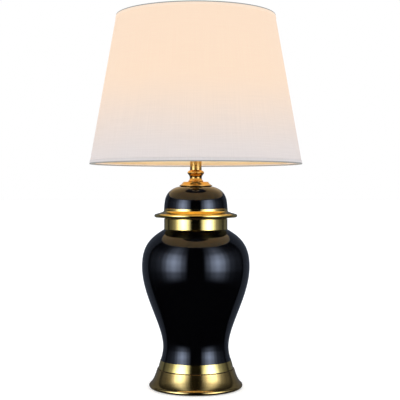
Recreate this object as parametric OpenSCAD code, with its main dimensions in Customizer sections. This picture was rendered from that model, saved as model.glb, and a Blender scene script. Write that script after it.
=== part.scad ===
// Table lamp: a ginger-jar base on a flared plinth, with a harp, a lamp holder and a tapered shade.
// The origin is the middle of the felt pad's underside, +Z is up and the front faces -Y.

/* [Plinth and weight] */
// Thickness of the felt pad under the lamp
felt_thick = 2; // [1:0.5:4]
// Height of the plinth's top face above the table
plinth_h = 36; // [30:1:60]
// How far the plinth's bottom lip stands out past its top edge
plinth_flare = 15.2; // [10:0.2:30]
// How far the plinth's top edge stands out past the jar's foot band
plinth_ledge = 2.2; // [1:0.1:8]
// Thickness of the plinth's spun wall
plinth_wall = 2.2; // [1.5:0.1:3]
// Radius of the rolled bottom lip
plinth_lip_r = 4; // [3:0.5:5]
// Thickness of the bottom plate that carries the felt
plate_thick = 1.6; // [1:0.1:2.5]
// Radius of the cast iron weight
weight_r = 66; // [40:1:68]
// Thickness of the cast iron weight
weight_thick = 12; // [6:1:13]

/* [Jar] */
// Height of the jar from its foot to its rim
jar_h = 281; // [240:1:360]
// Radius of the jar's foot
foot_r = 70; // [66:1:90]
// Radius of the waist above the foot
waist_r = 61.7; // [50:0.1:66]
// Height of the waist above the jar's foot
waist_h = 40; // [34:1:50]
// Largest radius of the jar
belly_r = 101.5; // [85:0.5:125]
// Height of the largest radius above the jar's foot
belly_h = 191; // [160:1:220]
// Radius of the jar's neck
neck_r = 59.2; // [50:0.1:72]
// Height of the straight neck
neck_h = 20.5; // [14:0.5:26]
// Thickness of the fired wall
jar_wall = 6; // [4:0.5:8]
// Thickness of the jar's floor
jar_floor = 8; // [6:0.5:14]
// Thickness of the gilded bands
band_thick = 0.6; // [0.4:0.1:1.2]
// Thickness of the cork rings under the jar and under the lid
gasket_thick = 1; // [0.5:0.1:2]

/* [Lid] */
// Height of the gold rim that carries the lid
rim_h = 17.6; // [15:0.2:26]
// How far the rim's flange stands out
flange_reach = 18; // [12:0.5:30]
// Radius of the flange's rounded lip
flange_lip_r = 3.3; // [2.5:0.1:4]
// Height of the black dome
dome_h = 42; // [30:1:60]
// Radius of the canopy on top of the dome
canopy_r = 30.8; // [26:0.2:40]
// Height of the canopy
canopy_h = 8.4; // [6:0.2:14]

/* [Stem] */
// Height of the turned spindle
spindle_h = 22; // [18:1:34]
// Largest radius of the spindle's bead
bead_r = 15.8; // [13:0.1:20]
// Outside radius of the brass tube
tube_r = 11; // [10:0.1:12.5]
// Wall of the brass tube
tube_wall = 1.5; // [1:0.1:2]
// Length of the brass tube
tube_h = 40; // [30:1:80]
// Outside radius of the hollow threaded rod
rod_r = 4.85; // [4.5:0.05:5.5]
// Radius of the rod's bore, which the wires pass through
rod_bore_r = 3; // [2:0.1:3.5]

/* [Lamp holder and bulb] */
// Outside radius of the holder's cap
cap_r = 18; // [17:0.5:20]
// Height of the holder from the saddle to its open end
holder_h = 66.4; // [60:0.2:80]
// Radius of the bulb's screw base
base_r = 13; // [12.5:0.1:13.5]
// Radius of the bulb's glass
bulb_r = 30; // [24:1:34]
// Length of the bulb over all
bulb_l = 110; // [95:1:120]

/* [Harp] */
// Height from the saddle to the shade's seat
harp_h = 231.4; // [190:0.2:280]
// Radius of the harp's wire
wire_r = 1.6; // [1.2:0.1:2]
// Distance from the lamp's axis to each sleeve
leg_x = 27; // [26:0.5:32]
// Outward lean of the harp's sides in degrees
lean = 12; // [8:1:14]
// Radius of the harp's shoulders
shoulder_bend = 48; // [36:1:52]
// Lift of the sleeves that lock the harp
sleeve_lift = 11; // [8:1:11]

/* [Shade] */
// Height of the shade
shade_h = 280; // [200:1:340]
// Radius of the shade's bottom rim
shade_low_r = 200; // [160:1:250]
// Radius of the shade's top rim
shade_top_r = 150; // [90:1:200]
// How far the shade's seat lies below its top rim
fitter_drop = 15; // [10:1:30]
// Thickness of the cloth and of the liner, each
cloth_thick = 0.6; // [0.4:0.1:1]
// Width of the folded trim at both rims
trim_w = 7; // [5:0.5:12]
// Radius of the wire rings inside the rims
ring_r = 1.5; // [1.2:0.1:2]
// Height of the finial
finial_h = 21; // [18:1:40]

/* [Cord inlet] */
// Radius of the hole through the cord bush
bush_bore_r = 3.4; // [2.5:0.1:4]
// Radius of the bush where it passes through the plinth
bush_r = 5.2; // [4.6:0.1:6.2]

/* [Hidden] */
$fn = 96;

// Clearances
glue_gap = 0.05;    // between laminated or glued layers, and in threads
seat_gap = 0.5;     // around the lid's spigot
slip_gap = 0.3;     // between pieces that lift off each other
pivot_gap = 0.05;   // running fit of the knob's shaft and the stud
rod_gap = 0.35;     // around the threaded rod in the pieces that it clamps

// Levels of the clamped stack, from the table up
jar_z = plinth_h + gasket_thick;
rim_z = jar_z + jar_h + gasket_thick;
dome_z = rim_z + rim_h;
canopy_z = dome_z + dome_h;
spindle_z = canopy_z + canopy_h;
tube_z = spindle_z + spindle_h;
check_h = 3;
check_z = tube_z + tube_h;
saddle_thick = 1.6;
saddle_z = check_z + check_h;
holder_z = saddle_z + saddle_thick;

// Plinth
band_r = foot_r + band_thick;
plinth_top_r = band_r + plinth_ledge;
plinth_r = plinth_top_r + plinth_flare;
lip_lift = 0.8;
lip_x = plinth_r - plinth_lip_r;
lip_z = lip_lift + plinth_lip_r;
deck_thick = 2.5;
lip_end = 62;
plinth_cove = curve([plinth_top_r, plinth_h - 1], [plinth_top_r + 3.6, 0.66 * plinth_h],
    [plinth_top_r + 6.6, 0.4 * plinth_h], arc(lip_x, lip_z, plinth_lip_r, lip_end, lip_end, 1)[0], 14);
plate_r = lip_x - plinth_lip_r - 0.1;
plate_top = felt_thick + plate_thick;
weight_top = plinth_h - deck_thick;
washer_thick = 1.5;
nut_thick = 5;
nut_flat = 17;
rod_low_z = weight_top - weight_thick - washer_thick - nut_thick - 2;

// Jar, with heights above its own foot
shoulder_h = jar_h - neck_h;
foot_band_rings = 4;
foot_curve = curve([foot_r, 0], [foot_r - 3.2, 0.38 * waist_h], [waist_r, 0.62 * waist_h],
    [waist_r, waist_h], 10);
side_rise = belly_h - waist_h;
side_curve = curve([waist_r, waist_h], [waist_r, waist_h + 0.27 * side_rise],
    [belly_r, belly_h - 0.37 * side_rise], [belly_r, belly_h], 18);
top_rise = shoulder_h - belly_h;
neck_step = band_thick + 0.2;
top_curve = curve([belly_r, belly_h], [belly_r, belly_h + 0.52 * top_rise],
    [neck_r + 0.68 * (belly_r - neck_r), shoulder_h - 0.23 * top_rise],
    [neck_r + neck_step, shoulder_h], 14);
jar_outline = concat(foot_curve, tail(side_curve), tail(top_curve));
jar_inside_r = neck_r - jar_wall;

// Lid
rim_r = neck_r + band_thick + 0.5;
spigot_r = jar_inside_r - seat_gap;
spigot_h = 6;
lid_bore_r = spigot_r - 3;
dome_wall = 5;
dome_curve = curve([rim_r - 0.3, 0], [rim_r - 1.1, 0.46 * dome_h], [rim_r - 4.3, 0.89 * dome_h],
    [canopy_r - 2.8, dome_h], 14);

// Stem
clamp_r = rod_r + rod_gap;
tube_in_r = tube_r - tube_wall;
plug_h = 3;

// Lamp holder, with heights above the saddle's top face
hub_r = 8;
cap_h = 25;
cap_wall = 0.8;
shell_low = 19.6;
shell_r = cap_r - cap_wall - 0.1;
shell_wall = 0.5;
liner_r = shell_r - shell_wall - 0.1;
liner_wall = 0.6;
core_r = liner_r - liner_wall - 0.4;
core_low = 20.6;
thread_l = 25;
core_top = holder_h - thread_l;
knob_z = (core_low + core_top) / 2;
knob_r = 6;
knob_l = 13;
shaft_r = 2;
shaft_hole_r = 3;
shaft_in = 8;
knob_y = cap_r + 3.5;
thread_wall = 0.6;
thread_r = base_r + slip_gap + 0.1 + thread_wall;
terminal_x = core_r - 3;
rod_top_z = holder_z + 7;

// Bulb, with heights above its contact
contact_z = holder_z + core_top + 1.6 + slip_gap;
bulb_neck_r = base_r - 0.8;
base_l = 25;
bulb_wide = bulb_l - bulb_r;

// Harp
wire_x = leg_x + 0.9;
sleeve_h = 12;
leg_spare = 1;
leg_h = sleeve_h + sleeve_lift + leg_spare;
kick_bend = 60;
collar_h = 3.3;
collar_r = 6.5;
plate_half = 1.5;
bar_z = harp_h - collar_h - 0.2 - plate_half;
side_l = (bar_z - leg_h - kick_bend * sin(lean) - shoulder_bend * (1 + sin(lean))) / cos(lean);
side_x = wire_x + kick_bend * (1 - cos(lean));
bend_x = side_x + side_l * sin(lean) - shoulder_bend * cos(lean);
rivet_r = 2.6;
sleeve_in_r = 3.9;
sleeve_out_r = 4.9;
tab_thick = 1.2;
tab_w = 4;
tab_h = 9;
stud_r = 3.1;
stud_h = 17;

// Shade
seat_z = holder_z + harp_h;
shade_top_z = seat_z + fitter_drop;
shade_low_z = shade_top_z - shade_h;
fold = cloth_thick;
pocket = 2 * (cloth_thick + glue_gap) + fold;
ring_in = pocket + ring_r + glue_gap;
trim_deep = ring_in + ring_r + glue_gap + fold;
hub_thick = 1.6;
spider_hub_r = 9;
arms = 3;
arm_r = 1.3;
hub_arm_z = seat_z + hub_thick + 0.2;
ring_top_z = shade_top_z - fold - ring_r - glue_gap;
ring_low_z = shade_low_z + fold + ring_r + glue_gap;
finial_z = seat_z + hub_thick;
finial_r = 7;

// Cord inlet, in the rear of the plinth and square to its wall
bush_head_r = 7.4;
bush_head = 2.5;
bush_proud = 0.8;
bush_l = 9;
bush_at = plinth_cove[6];
bush_slope = plinth_cove[5] - plinth_cove[7];
bush_tilt = atan2(-bush_slope[0], bush_slope[1]);

function bezier(a, b, c, d, t) =
    pow(1 - t, 3) * a + 3 * pow(1 - t, 2) * t * b + 3 * (1 - t) * t * t * c + pow(t, 3) * d;
function curve(a, b, c, d, steps) = [for (i = [0 : steps]) bezier(a, b, c, d, i / steps)];
function tail(points) = [for (i = [1 : len(points) - 1]) points[i]];
function reversed(points) = [for (i = [len(points) - 1 : -1 : 0]) points[i]];
function shifted(points, dx) = [for (p = points) [p[0] + dx, p[1]]];
function arc(cx, cz, r, from, to, steps) =
    [for (i = [0 : steps]) let (a = from + (to - from) * i / steps) [cx + r * cos(a), cz + r * sin(a)]];
function shade_x(z) = shade_low_r + (shade_top_r - shade_low_r) * (z - shade_low_z) / shade_h;

module lathe(outline) {
    rotate_extrude() polygon(outline);
}

module ring(inner, outer, low, high) {
    lathe([[inner, low], [outer, low], [outer, high], [inner, high]]);
}

// A rod along -Y, from its start at y = -from
module front_rod(r, from, length, z) {
    translate([0, -from, z]) rotate([90, 0, 0]) cylinder(r = r, h = length);
}

module felt_pad() {
    color("darkslategray") cylinder(r = plate_r - 0.5, h = felt_thick);
}

module bottom_plate() {
    color("dimgray") translate([0, 0, felt_thick]) cylinder(r = plate_r, h = plate_thick);
}

module base_weight() {
    color("dimgray") ring(clamp_r, weight_r, weight_top - weight_thick, weight_top);
}

module plinth() {
    lip = arc(lip_x, lip_z, plinth_lip_r, lip_end, -170, 16);
    inside = [for (p = plinth_cove) if (p[1] > plate_top + 7 && p[1] < weight_top - 1)
        [p[0] - plinth_wall, p[1]]];
    color("peru") difference() {
        lathe(concat([[clamp_r, plinth_h], [plinth_top_r - 1, plinth_h]], plinth_cove, tail(lip),
            [[plate_r + 0.1, plate_top], [plate_r - 3, plate_top], [plate_r - 3, plate_top + 3.5],
            [lip_x - plinth_lip_r, plate_top + 5]], reversed(inside),
            [[plinth_top_r - plinth_wall - 1, weight_top], [clamp_r, weight_top]]));
        at_inlet() translate([0, 0, -bush_l]) cylinder(r = bush_r, h = 2 * bush_l);
    }
}

// Puts what is drawn along +Z at the cord inlet, pointing out of the plinth's wall
module at_inlet() {
    translate([0, bush_at[0], bush_at[1]]) rotate([bush_tilt - 90, 0, 0]) children();
}

module cord_bush() {
    head = arc(bush_head_r - 1.5, bush_proud + bush_head - 1.5, 1.5, 0, 90, 5);
    color("black") at_inlet() lathe(concat([[bush_bore_r, -bush_l], [bush_r - glue_gap, -bush_l],
        [bush_r - glue_gap, bush_proud], [bush_head_r, bush_proud]], head,
        [[bush_bore_r, bush_proud + bush_head]]));
}

module foot_ring() {
    color("saddlebrown") ring(clamp_r, foot_r - 1.2, plinth_h, jar_z);
}

module jar() {
    inside = [for (p = jar_outline) if (p[1] > jar_floor + 2 && p[1] < shoulder_h - 4)
        [p[0] - jar_wall, p[1]]];
    color("black") translate([0, 0, jar_z]) lathe(concat([[clamp_r, 0]], jar_outline,
        [[neck_r, shoulder_h], [neck_r, jar_h], [jar_inside_r, jar_h], [jar_inside_r, shoulder_h - 2]],
        reversed(inside), [[foot_r - jar_wall - 6, jar_floor], [clamp_r, jar_floor]]));
}

module foot_band() {
    seam = [for (i = [0 : foot_band_rings]) foot_curve[i]];
    color("gold") translate([0, 0, jar_z])
        lathe(concat(shifted(seam, glue_gap), reversed(shifted(seam, band_thick))));
}

module neck_band() {
    color("gold") translate([0, 0, jar_z])
        ring(neck_r + glue_gap, neck_r + band_thick, shoulder_h + glue_gap, jar_h - 0.6);
}

module neck_ring() {
    color("saddlebrown") ring(jar_inside_r, neck_r - 0.8, rim_z - gasket_thick, rim_z);
}

module lid_rim() {
    lip_c = rim_r + flange_reach - flange_lip_r;
    lip_up = flange_lip_r + 1;
    lip = arc(lip_c, lip_up, flange_lip_r, -95, 78, 14);
    cove = curve([rim_r + 3.2, 0.64 * rim_h], [rim_r + 1.4, 0.67 * rim_h], [rim_r, 0.7 * rim_h],
        [rim_r, 0.78 * rim_h], 6);
    color("gold") translate([0, 0, rim_z]) lathe(concat([[lid_bore_r, -spigot_h], [spigot_r - 1, -spigot_h],
        [spigot_r, 1 - spigot_h], [spigot_r, 0], [rim_r + 1.5, 0]], lip, cove,
        [[rim_r, rim_h], [lid_bore_r, rim_h]]));
}

module lid_dome() {
    inside = [for (p = dome_curve) if (p[1] < dome_h - dome_wall - 2) [p[0] - dome_wall, p[1]]];
    color("black") translate([0, 0, dome_z]) lathe(concat(dome_curve,
        [[clamp_r, dome_h], [clamp_r, dome_h - dome_wall], [canopy_r - 4, dome_h - dome_wall]],
        reversed(inside)));
}

module canopy() {
    color("goldenrod") translate([0, 0, canopy_z]) lathe([[clamp_r, canopy_h], [canopy_r - 8.2, canopy_h],
        [canopy_r - 6.6, canopy_h - 0.8], [canopy_r - 0.6, 2.2], [canopy_r, 0.9], [canopy_r - 0.8, 0],
        [canopy_r - 2.4, 0], [canopy_r - 9, canopy_h - 1.5], [clamp_r, canopy_h - 1.5]]);
}

module spindle() {
    waist = 0.72 * bead_r;
    foot = 0.86 * bead_r;
    outline = concat([[clamp_r, 0], [foot - 0.6, 0]],
        curve([foot, 0.06 * spindle_h], [foot, 0.16 * spindle_h], [waist, 0.2 * spindle_h],
            [waist, 0.34 * spindle_h], 6),
        tail(curve([waist, 0.34 * spindle_h], [waist, 0.54 * spindle_h], [0.92 * bead_r, 0.64 * spindle_h],
            [bead_r, 0.77 * spindle_h], 7)),
        tail(curve([bead_r, 0.77 * spindle_h], [1.02 * bead_r, 0.85 * spindle_h],
            [0.93 * bead_r, 0.96 * spindle_h], [tube_r + 0.2, spindle_h], 6)),
        [[tube_in_r - glue_gap, spindle_h], [tube_in_r - glue_gap, spindle_h + plug_h],
        [clamp_r, spindle_h + plug_h]]);
    color("goldenrod") translate([0, 0, spindle_z]) lathe(outline);
}

module stem_tube() {
    color("goldenrod") ring(tube_in_r, tube_r, tube_z, check_z);
}

module check_ring() {
    rim = arc(tube_r + 0.5, check_h / 2, check_h / 2, -90, 90, 8);
    color("goldenrod") translate([0, 0, check_z]) lathe(concat([[clamp_r, -plug_h],
        [tube_in_r - glue_gap, -plug_h], [tube_in_r - glue_gap, 0]], rim, [[clamp_r, check_h]]));
}

module threaded_rod() {
    color("silver") ring(rod_bore_r, rod_r, rod_low_z, rod_top_z);
}

module rod_washer() {
    top = weight_top - weight_thick;
    color("silver") ring(rod_r + 0.2, 12, top - washer_thick, top);
}

module rod_nut() {
    color("silver") translate([0, 0, rod_low_z + 2]) difference() {
        cylinder(r = nut_flat / 2 / cos(30), h = nut_thick, $fn = 6);
        translate([0, 0, -1]) cylinder(r = rod_r + glue_gap, h = nut_thick + 2);
    }
}

module harp_saddle() {
    color("silver") difference() {
        union() {
            translate([-leg_x, -6, saddle_z]) cube([2 * leg_x, 12, saddle_thick]);
            for (side = [-1, 1]) {
                translate([side * leg_x, 0, saddle_z]) cylinder(r = 6, h = saddle_thick);
                translate([side * (leg_x - 1.8) - tab_thick / 2, -tab_w / 2, saddle_z])
                    cube([tab_thick, tab_w, saddle_thick + tab_h]);
            }
            translate([0, 0, saddle_z]) cylinder(r = 9, h = saddle_thick);
        }
        translate([0, 0, saddle_z - 1]) cylinder(r = clamp_r, h = saddle_thick + 2);
    }
}

module holder_cap() {
    color("goldenrod") translate([0, 0, holder_z]) difference() {
        lathe([[rod_r + glue_gap, 0], [hub_r, 0], [hub_r, 6.5], [hub_r + 1.5, 8.5], [cap_r - 1.2, 14.5],
            [cap_r, 17], [cap_r, cap_h - 1.2], [cap_r + 0.6, cap_h - 0.8], [cap_r + 0.6, cap_h],
            [cap_r - cap_wall, cap_h], [cap_r - cap_wall, 17.6], [cap_r - 2, 15.6], [hub_r + 1, 9.6],
            [rod_r + glue_gap, 9.6]]);
        translate([0, 0, 3.5]) rotate([-90, 0, 0]) cylinder(r = 1.65, h = 2 * hub_r);
    }
}

module set_screw() {
    color("silver") translate([0, rod_r + 0.1, holder_z + 3.5]) rotate([-90, 0, 0])
        cylinder(r = 1.6, h = hub_r - rod_r + 1.5);
}

module holder_shell() {
    top = holder_h;
    color("goldenrod") translate([0, 0, holder_z]) difference() {
        lathe([[shell_r - shell_wall, shell_low], [shell_r, shell_low], [shell_r, top - 1.2],
            [shell_r - 0.6, top - 0.2], [shell_r - 1.4, top], [shell_r - 1.8, top - 0.6],
            [shell_r - shell_wall, top - 1.4]]);
        front_rod(shaft_hole_r, 0, 2 * cap_r, knob_z);
    }
}

module shell_liner() {
    color("tan") translate([0, 0, holder_z]) difference() {
        ring(liner_r - liner_wall, liner_r, shell_low + 0.4, holder_h - 2);
        front_rod(shaft_hole_r, 0, 2 * cap_r, knob_z);
    }
}

module holder_core() {
    color("dimgray") translate([0, 0, holder_z]) difference() {
        translate([0, 0, core_low]) cylinder(r = core_r, h = core_top - core_low);
        front_rod(shaft_r + pivot_gap, shaft_in - 0.2, core_r, knob_z);
        for (side = [-1, 1]) {
            translate([side * (terminal_x + core_r / 2), 0, knob_z]) cube([core_r, 9, 8], center = true);
            translate([side * terminal_x, 0, knob_z]) rotate([0, 90, 0])
                cylinder(r = 1.55, h = 9, center = true);
        }
    }
}

module terminal_screws() {
    color("gold") translate([0, 0, holder_z + knob_z]) for (side = [-1, 1])
        rotate([0, side * 90, 0]) union() {
            translate([0, 0, terminal_x - 4]) cylinder(r = 1.5, h = 4);
            translate([0, 0, terminal_x]) cylinder(r = 2.8, h = 1.8);
        }
}

module screw_shell() {
    color("gold") translate([0, 0, holder_z])
        ring(thread_r - thread_wall, thread_r, core_top, holder_h - 1);
}

module centre_contact() {
    color("gold") translate([0, 0, holder_z + core_top]) union() {
        cylinder(r = 5, h = 0.8);
        cylinder(r = 2.5, h = 1.6);
    }
}

module switch_knob() {
    color("black") translate([0, 0, holder_z]) difference() {
        front_rod(knob_r, knob_y, knob_l, knob_z);
        for (i = [0 : 7]) translate([0, 0, knob_z]) rotate([0, i * 45, 0])
            translate([knob_r + 0.4, -knob_y + 1, 0]) rotate([90, 0, 0]) cylinder(r = 1.2, h = knob_l + 2);
        front_rod(shaft_r + glue_gap, knob_y - 1, 9, knob_z);
    }
}

module knob_shaft() {
    color("silver") translate([0, 0, holder_z])
        front_rod(shaft_r, shaft_in, knob_y + 7.5 - shaft_in, knob_z);
}

module bulb_glass() {
    neck = curve([bulb_neck_r, base_l + 1], [bulb_neck_r + 1, 0.47 * bulb_wide + 8],
        [bulb_r, bulb_wide - 28], [bulb_r, bulb_wide], 14);
    crown = arc(0, bulb_wide, bulb_r, 0, 90, 12);
    wall = 0.8;
    inner_neck = [for (p = neck) if (p[0] > wall) [p[0] - wall, p[1]]];
    inner_crown = arc(0, bulb_wide, bulb_r - wall, 0, 90, 12);
    color("ivory") translate([0, 0, contact_z]) lathe(concat([[bulb_neck_r, base_l - 7]], neck, tail(crown),
        reversed(inner_crown), reversed([for (i = [0 : len(neck) - 2]) inner_neck[i]]),
        [[bulb_neck_r - wall, base_l - 7]]));
}

module bulb_base() {
    color("silver") translate([0, 0, contact_z]) ring(bulb_neck_r + glue_gap, base_r, 4, base_l);
}

module bulb_contact() {
    color("dimgray") translate([0, 0, contact_z])
        lathe([[0, 0], [4.6, 0], [5, 1.2], [base_r - 1, 3.6], [bulb_neck_r, 4], [bulb_neck_r, 6], [0, 6]]);
}

module bulb_stem() {
    color("lightblue") translate([0, 0, contact_z]) union() {
        translate([0, 0, 6]) cylinder(r = 4, h = 34);
        for (side = [-1, 1]) translate([side * 6, 0, 40]) rotate([0, side * 8, 0]) cylinder(r = 1.2, h = 34);
        translate([-7.2, -1.2, 38]) cube([14.4, 2.4, 2.4]);
    }
}

// The harp's bent wire, swept along a path of points that lie in the XZ plane
module bent_wire(path, r, sides) {
    last = len(path) - 1;
    points = [for (i = [0 : last]) let (
        along = path[min(i + 1, last)] - path[max(i - 1, 0)],
        across = [along[1], -along[0]] / norm(along))
        for (k = [0 : sides - 1]) let (a = 360 * k / sides)
            [path[i][0] + r * cos(a) * across[0], r * sin(a), path[i][1] + r * cos(a) * across[1]]];
    walls = [for (i = [0 : last - 1]) for (k = [0 : sides - 1]) let (n = (k + 1) % sides)
        [i * sides + k, (i + 1) * sides + k, (i + 1) * sides + n, i * sides + n]];
    first_cap = [for (k = [0 : sides - 1]) k];
    last_cap = [for (k = [sides - 1 : -1 : 0]) last * sides + k];
    polyhedron(points, concat(walls, [first_cap, last_cap]));
}

module harp_bow() {
    right = concat([[wire_x, 0], [wire_x, leg_h / 2]],
        arc(wire_x + kick_bend, leg_h, kick_bend, 180, 180 - lean, 4),
        arc(bend_x, bar_z - shoulder_bend, shoulder_bend, -lean, 90, 16));
    left = [for (p = reversed(right)) [-p[0], p[1]]];
    color("silver") translate([0, 0, holder_z]) difference() {
        union() {
            bent_wire(concat(right, left), wire_r, 16);
            translate([0, 0, bar_z - plate_half]) cylinder(r = collar_r, h = 2 * plate_half);
        }
        translate([0, 0, bar_z - 5]) cylinder(r = rivet_r + pivot_gap, h = 10);
    }
}

module sleeve(side) {
    rim = arc(sleeve_out_r - 0.5, sleeve_h - 0.5, 0.5, 0, 90, 4);
    color("goldenrod") translate([side * leg_x, 0, holder_z])
        lathe(concat([[sleeve_in_r, 0], [sleeve_out_r, 0]], rim, [[sleeve_in_r, sleeve_h]]));
}

module sleeve_left() {
    sleeve(-1);
}

module sleeve_right() {
    sleeve(1);
}

module harp_stud() {
    under = bar_z - plate_half - 0.2;
    color("goldenrod") translate([0, 0, holder_z]) lathe([[0, under - 1.6], [3.4, under - 1.6],
        [4.4, under - 1], [4.4, under], [rivet_r, under], [rivet_r, harp_h - collar_h],
        [collar_r, harp_h - collar_h], [collar_r, harp_h], [stud_r, harp_h], [stud_r, harp_h + stud_h - 0.6],
        [stud_r - 0.6, harp_h + stud_h], [0, harp_h + stud_h]]);
}

// A conical layer of the shade, between two distances in from its outline
module layer(from, to) {
    low = shade_low_z + fold + glue_gap;
    high = shade_top_z - fold - glue_gap;
    lathe([[shade_x(low) - from, low], [shade_x(high) - from, high], [shade_x(high) - to, high],
        [shade_x(low) - to, low]]);
}

module shade_cloth() {
    color("ivory") layer(fold + glue_gap, fold + glue_gap + cloth_thick);
}

module shade_liner() {
    inside = fold + 2 * glue_gap + cloth_thick;
    color("white") layer(inside, inside + cloth_thick);
}

// The folded trim: an outer leg, an edge and a short inner leg around the wire ring
module trim(edge, dir) {
    tip = edge + dir * trim_w;
    turn = edge + dir * fold;
    short = edge + dir * (2 * ring_r + 2 * fold + 0.6);
    lathe([[shade_x(edge), edge], [shade_x(tip), tip], [shade_x(tip) - fold, tip],
        [shade_x(turn) - fold, turn],
        [shade_x(turn) - trim_deep + fold, turn], [shade_x(short) - trim_deep + fold, short],
        [shade_x(short) - trim_deep, short], [shade_x(edge) - trim_deep, edge]]);
}

module top_trim() {
    color("lightgray") difference() {
        trim(shade_top_z, -1);
        spider_arms(arm_r + slip_gap);
    }
}

module bottom_trim() {
    color("lightgray") trim(shade_low_z, 1);
}

// The arms run from the hub up to the top ring
module spider_arms(r) {
    reach = shade_x(ring_top_z) - ring_in;
    inner = spider_hub_r - 1;
    run = reach - inner;
    rise = ring_top_z - hub_arm_z;
    for (i = [0 : arms - 1]) rotate([0, 0, 90 + i * 360 / arms])
        translate([inner, 0, hub_arm_z]) rotate([0, 90 - atan2(rise, run), 0])
            cylinder(r = r, h = norm([run, rise]));
}

module spider() {
    color("silver") difference() {
        union() {
            translate([0, 0, ring_top_z]) rotate_extrude() translate([shade_x(ring_top_z) - ring_in, 0])
                circle(r = ring_r);
            spider_arms(arm_r);
            translate([0, 0, seat_z]) cylinder(r = spider_hub_r, h = hub_thick);
        }
        translate([0, 0, seat_z - 1]) cylinder(r = stud_r + slip_gap, h = 10);
    }
}

module bottom_ring() {
    color("silver") translate([0, 0, ring_low_z]) rotate_extrude()
        translate([shade_x(ring_low_z) - ring_in, 0]) circle(r = ring_r);
}

module finial() {
    depth = stud_h - hub_thick + 0.6;
    ball = 0.36 * finial_h;
    outline = concat([[stud_r + slip_gap, 0], [finial_r, 0], [finial_r, 1.6], [0.72 * finial_r, 2.6],
        [0.68 * finial_r, 4]],
        arc(0, finial_h - ball, ball, -47, 90, 14),
        [[0, depth], [stud_r + slip_gap, depth]]);
    color("goldenrod") translate([0, 0, finial_z]) lathe(outline);
}

felt_pad();
bottom_plate();
base_weight();
plinth();
cord_bush();
foot_ring();
jar();
foot_band();
neck_band();
neck_ring();
lid_rim();
lid_dome();
canopy();
spindle();
stem_tube();
check_ring();
threaded_rod();
rod_washer();
rod_nut();
harp_saddle();
holder_cap();
set_screw();
holder_shell();
shell_liner();
holder_core();
terminal_screws();
screw_shell();
centre_contact();
switch_knob();
knob_shaft();
bulb_glass();
bulb_base();
bulb_contact();
bulb_stem();
harp_bow();
sleeve_left();
sleeve_right();
harp_stud();
shade_cloth();
shade_liner();
top_trim();
bottom_trim();
spider();
bottom_ring();
finial();
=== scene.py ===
from math import atan2, cos, hypot, pi, radians, sin

import bmesh
import bpy
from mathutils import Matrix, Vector, noise


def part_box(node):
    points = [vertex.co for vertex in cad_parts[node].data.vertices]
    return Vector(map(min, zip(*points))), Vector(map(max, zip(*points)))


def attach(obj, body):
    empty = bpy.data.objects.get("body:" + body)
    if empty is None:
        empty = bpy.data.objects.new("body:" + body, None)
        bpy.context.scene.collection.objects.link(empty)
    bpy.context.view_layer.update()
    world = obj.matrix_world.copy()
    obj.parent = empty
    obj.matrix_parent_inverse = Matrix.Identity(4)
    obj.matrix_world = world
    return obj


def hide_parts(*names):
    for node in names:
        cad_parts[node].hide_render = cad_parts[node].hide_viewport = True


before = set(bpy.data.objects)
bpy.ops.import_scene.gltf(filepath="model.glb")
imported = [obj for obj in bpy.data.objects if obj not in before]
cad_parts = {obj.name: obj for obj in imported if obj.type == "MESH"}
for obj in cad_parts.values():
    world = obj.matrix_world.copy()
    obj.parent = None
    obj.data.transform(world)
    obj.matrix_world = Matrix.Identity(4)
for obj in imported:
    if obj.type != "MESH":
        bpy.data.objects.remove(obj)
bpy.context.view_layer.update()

mm = 0.001
scene = bpy.context.scene
scene.view_settings.view_transform = "Standard"

weld = 1e-6        # metres; points nearer than this are one point
creaseAngle = 32   # degrees; a steeper edge stays sharp
rodHole = 5.2      # clearance for the threaded rod, in every turned part that it passes through
measured = {}      # the boxes of CAD nodes, each read once


def boxOf(node):
    if node not in measured:
        measured[node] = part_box(node)
    return measured[node]


def lowOf(node):
    return boxOf(node)[0].z / mm


def highOf(node):
    return boxOf(node)[1].z / mm


def radiusOf(node):
    return boxOf(node)[1].x / mm


def bezier(a, b, c, d, steps):
    points = []
    for i in range(steps + 1):
        t = i / steps
        k = ((1 - t) ** 3, 3 * (1 - t) ** 2 * t, 3 * (1 - t) * t * t, t ** 3)
        points.append((k[0] * a[0] + k[1] * b[0] + k[2] * c[0] + k[3] * d[0],
                       k[0] * a[1] + k[1] * b[1] + k[2] * c[1] + k[3] * d[1]))
    return points


def roundCorner(cx, cz, r, start, end, steps=8):
    angles = [radians(start + (end - start) * i / steps) for i in range(steps + 1)]
    return [(cx + r * cos(a), cz + r * sin(a)) for a in angles]


def addNode(tree, kind, **settings):
    node = tree.nodes.new(kind)
    for key, value in settings.items():
        setattr(node, key, value)
    return node


def link(source, target):
    source.id_data.links.new(source, target)


def mathNode(tree, operation, a, b=None, c=None):
    node = addNode(tree, "ShaderNodeMath", operation=operation)
    for socket, value in zip(node.inputs, (a, b, c)):
        if value is None:
            continue
        if isinstance(value, (int, float)):
            socket.default_value = value
        else:
            link(value, socket)
    return node.outputs[0]


def newTree(name, inputs):
    tree = bpy.data.node_groups.new(name, "GeometryNodeTree")
    tree.interface.new_socket("Geometry", in_out="INPUT", socket_type="NodeSocketGeometry")
    for label, kind, value in inputs:
        socket = tree.interface.new_socket(label, in_out="INPUT", socket_type=kind)
        if value is not None:
            socket.default_value = value
    tree.interface.new_socket("Geometry", in_out="OUTPUT", socket_type="NodeSocketGeometry")
    start = addNode(tree, "NodeGroupInput")
    end = addNode(tree, "NodeGroupOutput")
    return tree, start, end


def finishTree(tree, start, end, geometry):
    realize = addNode(tree, "GeometryNodeRealizeInstances")
    paint = addNode(tree, "GeometryNodeSetMaterial")
    link(geometry, realize.inputs[0])
    link(realize.outputs[0], paint.inputs["Geometry"])
    link(start.outputs["Material"], paint.inputs["Material"])
    link(paint.outputs[0], end.inputs[0])


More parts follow.
